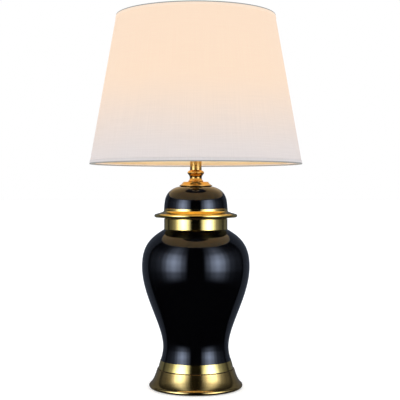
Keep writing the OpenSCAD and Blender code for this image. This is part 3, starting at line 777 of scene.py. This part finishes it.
def makeStem(shape):
    low, high = lowOf("canopy"), highOf("canopy")
    wide = radiusOf("canopy")
    top = wide - shape["flatPart"]
    outline = [(rodHole, high), (top, high)] + roundCorner(top, high - 1.4, 1.4, 82, 40, 5)
    outline += bezier((top + 1.1, high - 0.5), (top + 2.6, high - 2.6), (wide - 3.2, low + 2.9),
                      (wide - 1.1, low + 2.3), 10)[1:]
    outline += roundCorner(wide - 1.2, low + 1.2, 1.2, 70, -90, 10)
    under = high - shape["canopyWall"]
    outline += [(wide - 2.6, low), (wide - 9, under), (rodHole, under)]
    stand(turn("canopyCup", outline, stemBrass, segments=128), "base", ["canopy"])

    low = lowOf("spindle")
    tall = lowOf("stem_tube") - low
    bead = radiusOf("spindle")
    tube = radiusOf("stem_tube")
    waist, foot = shape["waist"] * bead, shape["foot"] * bead
    outline = [(rodHole, low), (foot - 0.6, low)] + roundCorner(foot - 0.7, low + 1.3, 1.3, -60, 60, 8)
    outline += bezier((foot - 0.4, low + 2.6), (foot - 1.4, low + 0.17 * tall), (waist, low + 0.2 * tall),
                      (waist, low + 0.34 * tall), 10)[1:]
    outline += bezier((waist, low + 0.34 * tall), (waist, low + 0.54 * tall), (0.9 * bead, low + 0.62 * tall),
                      (bead - 0.2, low + 0.74 * tall), 14)[1:]
    outline += bezier((bead - 0.2, low + 0.74 * tall), (bead + 0.1, low + 0.82 * tall),
                      (0.93 * bead, low + 0.93 * tall), (tube + 0.2, low + tall - 0.1), 12)[1:]
    outline += [(tube - 1.6, low + tall), (tube - 1.6, highOf("spindle")), (rodHole, highOf("spindle"))]
    stand(turn("turnedSpindle", outline, stemBrass, segments=96), "base", ["spindle"])

    low, high = lowOf("stem_tube"), highOf("stem_tube")
    outline = [(tube - shape["tubeWall"], low), (tube - 0.3, low), (tube, low + 0.3), (tube, high - 0.3),
               (tube - 0.3, high), (tube - shape["tubeWall"], high)]
    stand(turn("stemTube", outline, stemBrass, segments=96), "base", ["stem_tube"])

    low, high = lowOf("check_ring"), highOf("check_ring")
    wide = radiusOf("check_ring")
    seat = lowOf("harp_saddle") - 3
    outline = [(rodHole, low), (tube - 1.6, low), (tube - 1.6, seat)]
    outline += roundCorner(wide - 1.5, seat + 1.5, 1.5, -90, 90, 12) + [(rodHole, high)]
    stand(turn("checkRing", outline, stemBrass, segments=96), "base", ["check_ring"])


feltShape = {"soften": 0.9}   # how far the lower edge is worn round


def makeFeltPad(shape):
    low, high = lowOf("felt_pad"), highOf("felt_pad")
    wide = radiusOf("felt_pad")
    soften = shape["soften"]
    outline = [(0, low), (wide - soften, low), (wide - soften / 3, low + soften / 3), (wide, low + soften),
               (wide, high), (0, high)]
    stand(turn("feltPad", outline, felt, closed=False, segments=160), "base", ["felt_pad"])


makePlinth(plinthShape)
makeJar(jarShape)
makeLid(lidShape)
makeStem(stemShape)
makeFeltPad(feltShape)
print("base made")


bulbShape = {
    "neckInset": 0.8,      # of the glass inside the screw base
    "wall": 0.8,
    "baseLength": 25.0, "glassInBase": 7.0,
    "threadTurns": 4.2, "threadLength": 14.5,
    "threadRidge": 0.25,
}


def makeBulb(shape):
    contact = lowOf("bulb_contact")
    top = highOf("bulb_glass")
    wide = radiusOf("bulb_glass")
    neck = radiusOf("bulb_base") - shape["neckInset"]
    centre = top - wide
    base = shape["baseLength"]
    length = centre - contact
    side = bezier((neck, contact + base + 1), (neck + 1, contact + 0.47 * length + 8),
                  (wide, centre - 28), (wide, centre), 28)
    glassEnd = contact + base - shape["glassInBase"]
    wall = shape["wall"]
    outline = [(neck, glassEnd)] + side + roundCorner(0, centre, wide, 0, 90, 20)[1:]
    outline[-1] = (0, top)
    inner = [(x - wall, z) for x, z in side] + roundCorner(0, centre, wide - wall, 0, 90, 20)[1:]
    inner[-1] = (0, top - wall)
    outline += list(reversed(inner)) + [(neck - wall, glassEnd), (neck, glassEnd)]
    piece = turn("bulbGlass", outline, bulbGlass, closed=False, segments=96)
    stand(piece, "bulb", ["bulb_glass"])

    low, high = lowOf("bulb_base"), highOf("bulb_base")
    ridge = shape["threadRidge"]
    barrel = radiusOf("bulb_base") - 2 * ridge
    outline = [(neck + 0.05, low), (barrel - 1, low), (barrel, low + 1.5), (barrel, high - 3),
               (barrel + ridge, high - 1.5), (barrel + ridge, high), (neck + 0.05, high)]
    piece = turn("screwBase", outline, nickelPlate, segments=96)
    runTree(piece, threadTree, {"Radius": (barrel + ridge * 0.5) * mm, "Turns": shape["threadTurns"],
                                "Height": shape["threadLength"] * mm, "Ridge": ridge * mm,
                                "Material": nickelPlate})
    tidyShell(piece)
    stand(piece, "bulb", ["bulb_base"])
    return centre


harpShape = {
    "legX": 27.9, "legHeight": 24.0,
    "kickBend": 60.0, "lean": 12.0,
    "shoulderBend": 48.0,
    "wire": 1.6,
    "plate": 6.5, "plateHalf": 1.5, "plateHole": 2.65,
}


def makeHarp(shape):
    foot = lowOf("harp_bow")
    barZ = highOf("harp_bow") - shape["wire"]
    lean = radians(shape["lean"])
    bend, kick = shape["shoulderBend"], shape["kickBend"]
    straight = (barZ - foot - shape["legHeight"] - kick * sin(lean) - bend * (1 + sin(lean))) / cos(lean)
    bendX = shape["legX"] + kick * (1 - cos(lean)) + straight * sin(lean) - bend * cos(lean)
    right = [(shape["legX"], foot), (shape["legX"], foot + shape["legHeight"] / 2)]
    right += roundCorner(shape["legX"] + kick, foot + shape["legHeight"], kick, 180, 180 - shape["lean"], 8)
    right += roundCorner(bendX, barZ - bend, bend, -shape["lean"], 90, 32)
    path = right + [(-x, z) for x, z in reversed(right)]
    piece = newPiece("harpBow", [(x, 0, z) for x, z in path], [(i, i + 1) for i in range(len(path) - 1)])
    runTree(piece, wireTree, {"Wire Radius": shape["wire"] * mm, "Sides": 20, "Material": nickelPlate})
    tidyShell(piece)
    cutHole(piece, (0, 0, barZ), (0, 0, 1), shape["plateHole"], 8)
    half, out = shape["plateHalf"], shape["plate"]
    outline = [(shape["plateHole"], barZ - half), (out - 0.4, barZ - half), (out, barZ - half + 0.4),
               (out, barZ + half - 0.4), (out - 0.4, barZ + half), (shape["plateHole"], barZ + half)]
    plate = turn("harpPlate", outline, nickelPlate, segments=64)
    for each in (piece, plate):
        stand(each, "harp", ["harp_bow"])


sleeveShape = {
    "inside": 3.9, "outside": 4.9,
    "grooves": 4, "groove": 0.25, "grooveHalf": 0.5,
    "firstGroove": 3.0, "groovePitch": 1.8,
}


def makeSleeve(side, shape):
    # a drawn cup that locks the harp's foot, with rolled grooves for the fingers
    node = "sleeve_left" if side < 0 else "sleeve_right"
    low, high = lowOf(node), highOf(node)
    centreX = (boxOf(node)[0].x + boxOf(node)[1].x) / 2 / mm
    out, half = shape["outside"], shape["grooveHalf"]
    outline = [(shape["inside"], low), (out - 0.2, low), (out, low + 0.4)]
    for i in range(shape["grooves"]):
        z = low + shape["firstGroove"] + i * shape["groovePitch"]
        outline += [(out, z - half), (out - shape["groove"], z), (out, z + half)]
    outline += roundCorner(out - 0.7, high - 0.7, 0.7, 0, 90, 6) + [(shape["inside"], high)]
    piece = turn("sleeveLeft" if side < 0 else "sleeveRight", outline, stemBrass, segments=64)
    for vertex in piece.data.vertices:
        vertex.co.x += centreX * mm
    stand(piece, node, [node])


finialShape = {"bore": 3.4, "boreDepth": 16.0, "collar": 7.0, "throat": 6.4}


def makeFinial(shape):
    low, high = lowOf("finial"), highOf("finial")
    ball = radiusOf("finial")
    centre = high - ball
    bore, collar, throat = shape["bore"], shape["collar"], shape["throat"]
    outline = [(bore, low), (collar - 0.4, low), (collar, low + 0.4), (collar, low + 1.2),
               (throat, low + 1.7)]
    outline += bezier((throat, low + 1.7), (4.6, low + 2.2), (4.3, low + 3.2), (5.2, centre - 5.5), 10)[1:]
    outline += roundCorner(0, centre, ball, -44, 90, 24)
    outline[-1] = (0, high)
    outline += [(0, low + shape["boreDepth"]), (bore, low + shape["boreDepth"]), (bore, low)]
    piece = turn("ballFinial", outline, stemBrass, closed=False, segments=72)
    stand(piece, "finial", ["finial"])


bulbCentre = makeBulb(bulbShape)
makeHarp(harpShape)
makeSleeve(-1, sleeveShape)
makeSleeve(1, sleeveShape)
makeFinial(finialShape)
print("bulb and harp made")


shadeShape = {
    "topRadius": 150.0, "lowRadius": 200.0,
    "clothInset": 0.65, "clothThick": 0.6,
    "liningInset": 1.3, "liningThick": 0.6,
    "lap": 10.0,           # overlap of the cloth's seam, at the rear
    "slack": 0.3,          # how far the cloth stands off a true cone
    "around": 288, "up": 36,
    "trimWidth": 7.0, "foldThick": 0.6, "pocket": 5.35, "foldBack": 4.2,
}


def shadeRadius(shape, z):
    low, high = lowOf("bottom_trim"), highOf("top_trim")
    return shape["lowRadius"] + (shape["topRadius"] - shape["lowRadius"]) * (z - low) / (high - low)


def rolledSheet(name, shape, inset, thick, slack, lapSide, material):
    # a flat sheet rolled into a cone, its ends lapped at the rear, or a closed ring where lapSide is 0;
    # the UV map is in metres
    low = lowOf("bottom_trim") + shape["foldThick"] + 0.05
    high = highOf("top_trim") - shape["foldThick"] - 0.05
    around, up = shape["around"], shape["up"]
    overlap = lapSide * shape["lap"] / shape["lowRadius"]
    points, mapped, faces = [], [], []
    for side in (0, 1):
        for i in range(around + 1):
            share = i / around
            angle = pi / 2 + share * (2 * pi + overlap)
            into = 0.0
            if lapSide:
                into = (share * (2 * pi + overlap) - (2 * pi - 2 * overlap)) / (1.8 * overlap)
                into = max(0.0, min(1.0, into))
            lift = (thick + 0.05) * into * into * (3 - 2 * into)
            for j in range(up + 1):
                z = low + (high - low) * j / up
                # held still under the trim
                calm = max(0.0, min(1.0, (min(j, up - j) - 1) / 2))
                wave = 0.5 + 0.5 * noise.noise((cos(angle) * 3, sin(angle) * 3, z * 0.012))
                r = shadeRadius(shape, z) - inset - side * thick + calm * (slack * wave + lift)
                points.append((r * cos(angle), r * sin(angle), z))
                mapped.append((share * 2 * pi * shape["lowRadius"] * mm, z * mm))
    rows = up + 1
    back = (around + 1) * rows
    for i in range(around):
        for j in range(up):
            a = i * rows + j
            faces.append((a, a + rows, a + rows + 1, a + 1))
            faces.append((back + a, back + a + 1, back + a + rows + 1, back + a + rows))
        for j, turnOver in ((0, False), (up, True)):
            a = i * rows + j
            edge = (a, back + a, back + a + rows, a + rows)
            faces.append(tuple(reversed(edge)) if turnOver else edge)
    for i in (0, around) if lapSide else ():
        for j in range(up):
            a = i * rows + j
            faces.append((a, back + a, back + a + 1, a + 1))
    piece = newPiece(name, points, [], faces)
    piece.data.materials.append(material)
    uvLayer = piece.data.uv_layers.new(name="UVMap")
    for loop in piece.data.loops:
        uvLayer.data[loop.index].uv = mapped[loop.vertex_index]
    piece.data.shade_smooth()
    shell = bmesh.new()
    shell.from_mesh(piece.data)
    if not lapSide:
        bmesh.ops.remove_doubles(shell, verts=shell.verts, dist=weld)
    bmesh.ops.recalc_face_normals(shell, faces=shell.faces)
    for edge in shell.edges:
        if len(edge.link_faces) == 2 and edge.calc_face_angle(0) > 1:
            edge.smooth = False
    shell.to_mesh(piece.data)
    shell.free()
    return piece


def foldedTrim(name, node, shape, edge, direction):
    # woven tape folded over the rim and the wire ring behind it
    fold, pocket = shape["foldThick"], shape["pocket"]
    deep = pocket + fold
    soft = 0.3

    def at(inset, away):
        z = edge + direction * away
        return shadeRadius(shape, z) - inset, z

    outline = [at(0, soft), at(0, shape["trimWidth"] - soft), at(soft, shape["trimWidth"]),
               at(fold, shape["trimWidth"]), at(fold, fold)]
    back = shape["foldBack"]
    outline += [at(pocket, fold), at(pocket, back), at(deep, back), at(deep, 1.2), at(deep - 0.35, 0.35),
                at(deep - 1.2, 0), at(0.5, 0)]
    piece = turn(name, outline, trimTape, segments=288, crease=50)
    around = bmesh.new()
    around.from_mesh(piece.data)
    layer = around.loops.layers.uv.new("UVMap")
    for face in around.faces:
        middle = face.calc_center_median()
        centreAngle = atan2(middle.x, -middle.y)
        for loop in face.loops:
            x, y, z = loop.vert.co
            angle = atan2(x, -y)
            if angle - centreAngle > pi:
                angle -= 2 * pi
            elif centreAngle - angle > pi:
                angle += 2 * pi
            loop[layer].uv = (angle * shape["lowRadius"] * mm, z + hypot(x, y))
    around.to_mesh(piece.data)
    around.free()
    return stand(piece, "shade", [node])


shadeCloth = rolledSheet("shadeCloth", shadeShape, shadeShape["clothInset"], shadeShape["clothThick"],
                         shadeShape["slack"], 1, linen)
stand(shadeCloth, "shade", ["shade_cloth"])
shadeLining = rolledSheet("shadeLining", shadeShape, shadeShape["liningInset"], shadeShape["liningThick"],
                          0.0, 0, lining)
stand(shadeLining, "shade", ["shade_liner"])
topTrim = foldedTrim("topTrim", "top_trim", shadeShape, highOf("top_trim"), -1)
bottomTrim = foldedTrim("bottomTrim", "bottom_trim", shadeShape, lowOf("bottom_trim"), 1)

# the slant length of the cloth, from its bottom edge to its top edge
slant = hypot(highOf("top_trim") - lowOf("bottom_trim"), shadeShape["lowRadius"] - shadeShape["topRadius"])
print("shade made")


stageShape = {
    "floorSize": 60.0,
    "cameraDistance": 1.812, "eyeHeight": 0.3716,
    "lens": 86.4, "shiftX": 0.0105, "shiftY": -0.025,
    "bulbPower": 0.72, "bulbColour": (1.0, 0.57, 0.17), "bulbSize": 0.028,
    "floorGlow": 0.45,
}


def makeFloor(shape):
    size = shape["floorSize"] / 2 / mm
    points = [(-size, -size, 0), (size, -size, 0), (size, size, 0), (-size, size, 0)]
    floor = newPiece("paleFloor", points, [], [(0, 1, 2, 3)])
    material, tree, shader = newMaterial("paleFloor", (0.95, 0.95, 0.95), 0.9)
    shader.inputs["Emission Color"].default_value = (1, 1, 1, 1)
    shader.inputs["Emission Strength"].default_value = shape["floorGlow"]
    grain = placeGroup(tree, mottle, Scale=3.0, Contrast=1.0)
    blendColours(tree, grain.outputs["Mask"], (0.94, 0.94, 0.94), (0.96, 0.96, 0.96),
                 shader.inputs["Base Color"])
    # seen from below, the floor is clear
    below = addNode(tree, "ShaderNodeNewGeometry")
    clear = addNode(tree, "ShaderNodeBsdfTransparent")
    both = addNode(tree, "ShaderNodeMixShader")
    link(below.outputs["Backfacing"], both.inputs[0])
    link(shader.outputs[0], both.inputs[1])
    link(clear.outputs[0], both.inputs[2])
    link(both.outputs[0], tree.nodes["Material Output"].inputs["Surface"])
    floor.data.materials.append(material)
    floor.visible_glossy = False


def ramp(tree, value, points):
    # a smooth curve through (position, brightness) pairs
    node = addNode(tree, "ShaderNodeValToRGB")
    node.color_ramp.interpolation = "EASE"
    steps = node.color_ramp.elements
    while len(steps) < len(points):
        steps.new(0.5)
    for step, (position, brightness) in zip(steps, points):
        step.position = position
        step.color = (brightness, brightness, brightness, 1)
    link(value, node.inputs[0])
    return node.outputs[0]


studioShape = {
    # brightness round the lamp, from 0 in front of it to 1 behind, the same on both sides
    "boxAcross": [(0.085, 0.0), (0.155, 0.28), (0.2, 0.68), (0.265, 1.0), (0.335, 0.66), (0.39, 0.25),
                  (0.45, 0.07), (0.55, 0.025), (0.69, 0.0)],
    # and by height, from 0 straight down to 1 straight up
    "boxUp": [(0.36, 0.0), (0.44, 0.25), (0.48, 0.75), (0.545, 1.0), (0.6, 0.75), (0.69, 0.24), (0.8, 0.1),
              (0.92, 0.03)],
    "backdrop": [(0.66, 0.0), (0.69, 0.13), (1.0, 0.13)],
    "boxPower": 6.4, "boxTint": (0.77, 0.90, 1.20),
    "fill": (0.80, 0.82, 0.84),
}


def makeWorld(shape):
    # white to the camera, pale as a light; reflected, two tall soft boxes with a dark gap between them
    world = bpy.data.worlds.new("studio")
    world.use_nodes = True
    scene.world = world
    tree = world.node_tree
    place = addNode(tree, "ShaderNodeTexCoord")
    parts = addNode(tree, "ShaderNodeSeparateXYZ")
    link(place.outputs["Generated"], parts.inputs[0])
    side = mathNode(tree, "ARCTAN2", mathNode(tree, "ABSOLUTE", parts.outputs[0]),
                    mathNode(tree, "MULTIPLY", parts.outputs[1], -1.0))
    side = mathNode(tree, "DIVIDE", side, pi)
    up = mathNode(tree, "DIVIDE", mathNode(tree, "ARCSINE", parts.outputs[2]), pi)
    up = mathNode(tree, "ADD", up, 0.5)
    box = mathNode(tree, "MULTIPLY", ramp(tree, side, shape["boxAcross"]), ramp(tree, up, shape["boxUp"]))
    soft = mathNode(tree, "ADD", mathNode(tree, "MULTIPLY", box, shape["boxPower"]),
                    ramp(tree, side, shape["backdrop"]))
    path = addNode(tree, "ShaderNodeLightPath")
    glossy = mixed(tree, 1.0, soft, shape["boxTint"], "MULTIPLY")
    light = mixed(tree, path.outputs["Is Glossy Ray"], shape["fill"], glossy)
    seen = mixed(tree, path.outputs["Is Camera Ray"], light, (1.0, 1.0, 1.0))
    link(seen, tree.nodes["Background"].inputs["Color"])


def makeBulbLamp(shape):
    light = bpy.data.lights.new("bulbLamp", "POINT")
    light.energy = shape["bulbPower"]
    light.color = shape["bulbColour"]
    light.shadow_soft_size = shape["bulbSize"]
    lamp = bpy.data.objects.new("bulbLamp", light)
    lamp.location = (0, 0, bulbCentre * mm)
    scene.collection.objects.link(lamp)
    bpy.data.objects["bulbGlass"].visible_shadow = False


def makeCamera(shape):
    data = bpy.data.cameras.new("camera")
    data.sensor_width = 36
    data.lens = shape["lens"]
    data.shift_x = shape["shiftX"]
    data.shift_y = shape["shiftY"]
    data.clip_end = 50
    camera = bpy.data.objects.new("camera", data)
    camera.location = (0, -shape["cameraDistance"], shape["eyeHeight"])
    camera.rotation_euler = (pi / 2, 0, 0)
    scene.collection.objects.link(camera)
    scene.camera = camera


makeFloor(stageShape)
makeWorld(studioShape)
makeBulbLamp(stageShape)
makeCamera(stageShape)
print("stage made")

bpy.context.view_layer.update()
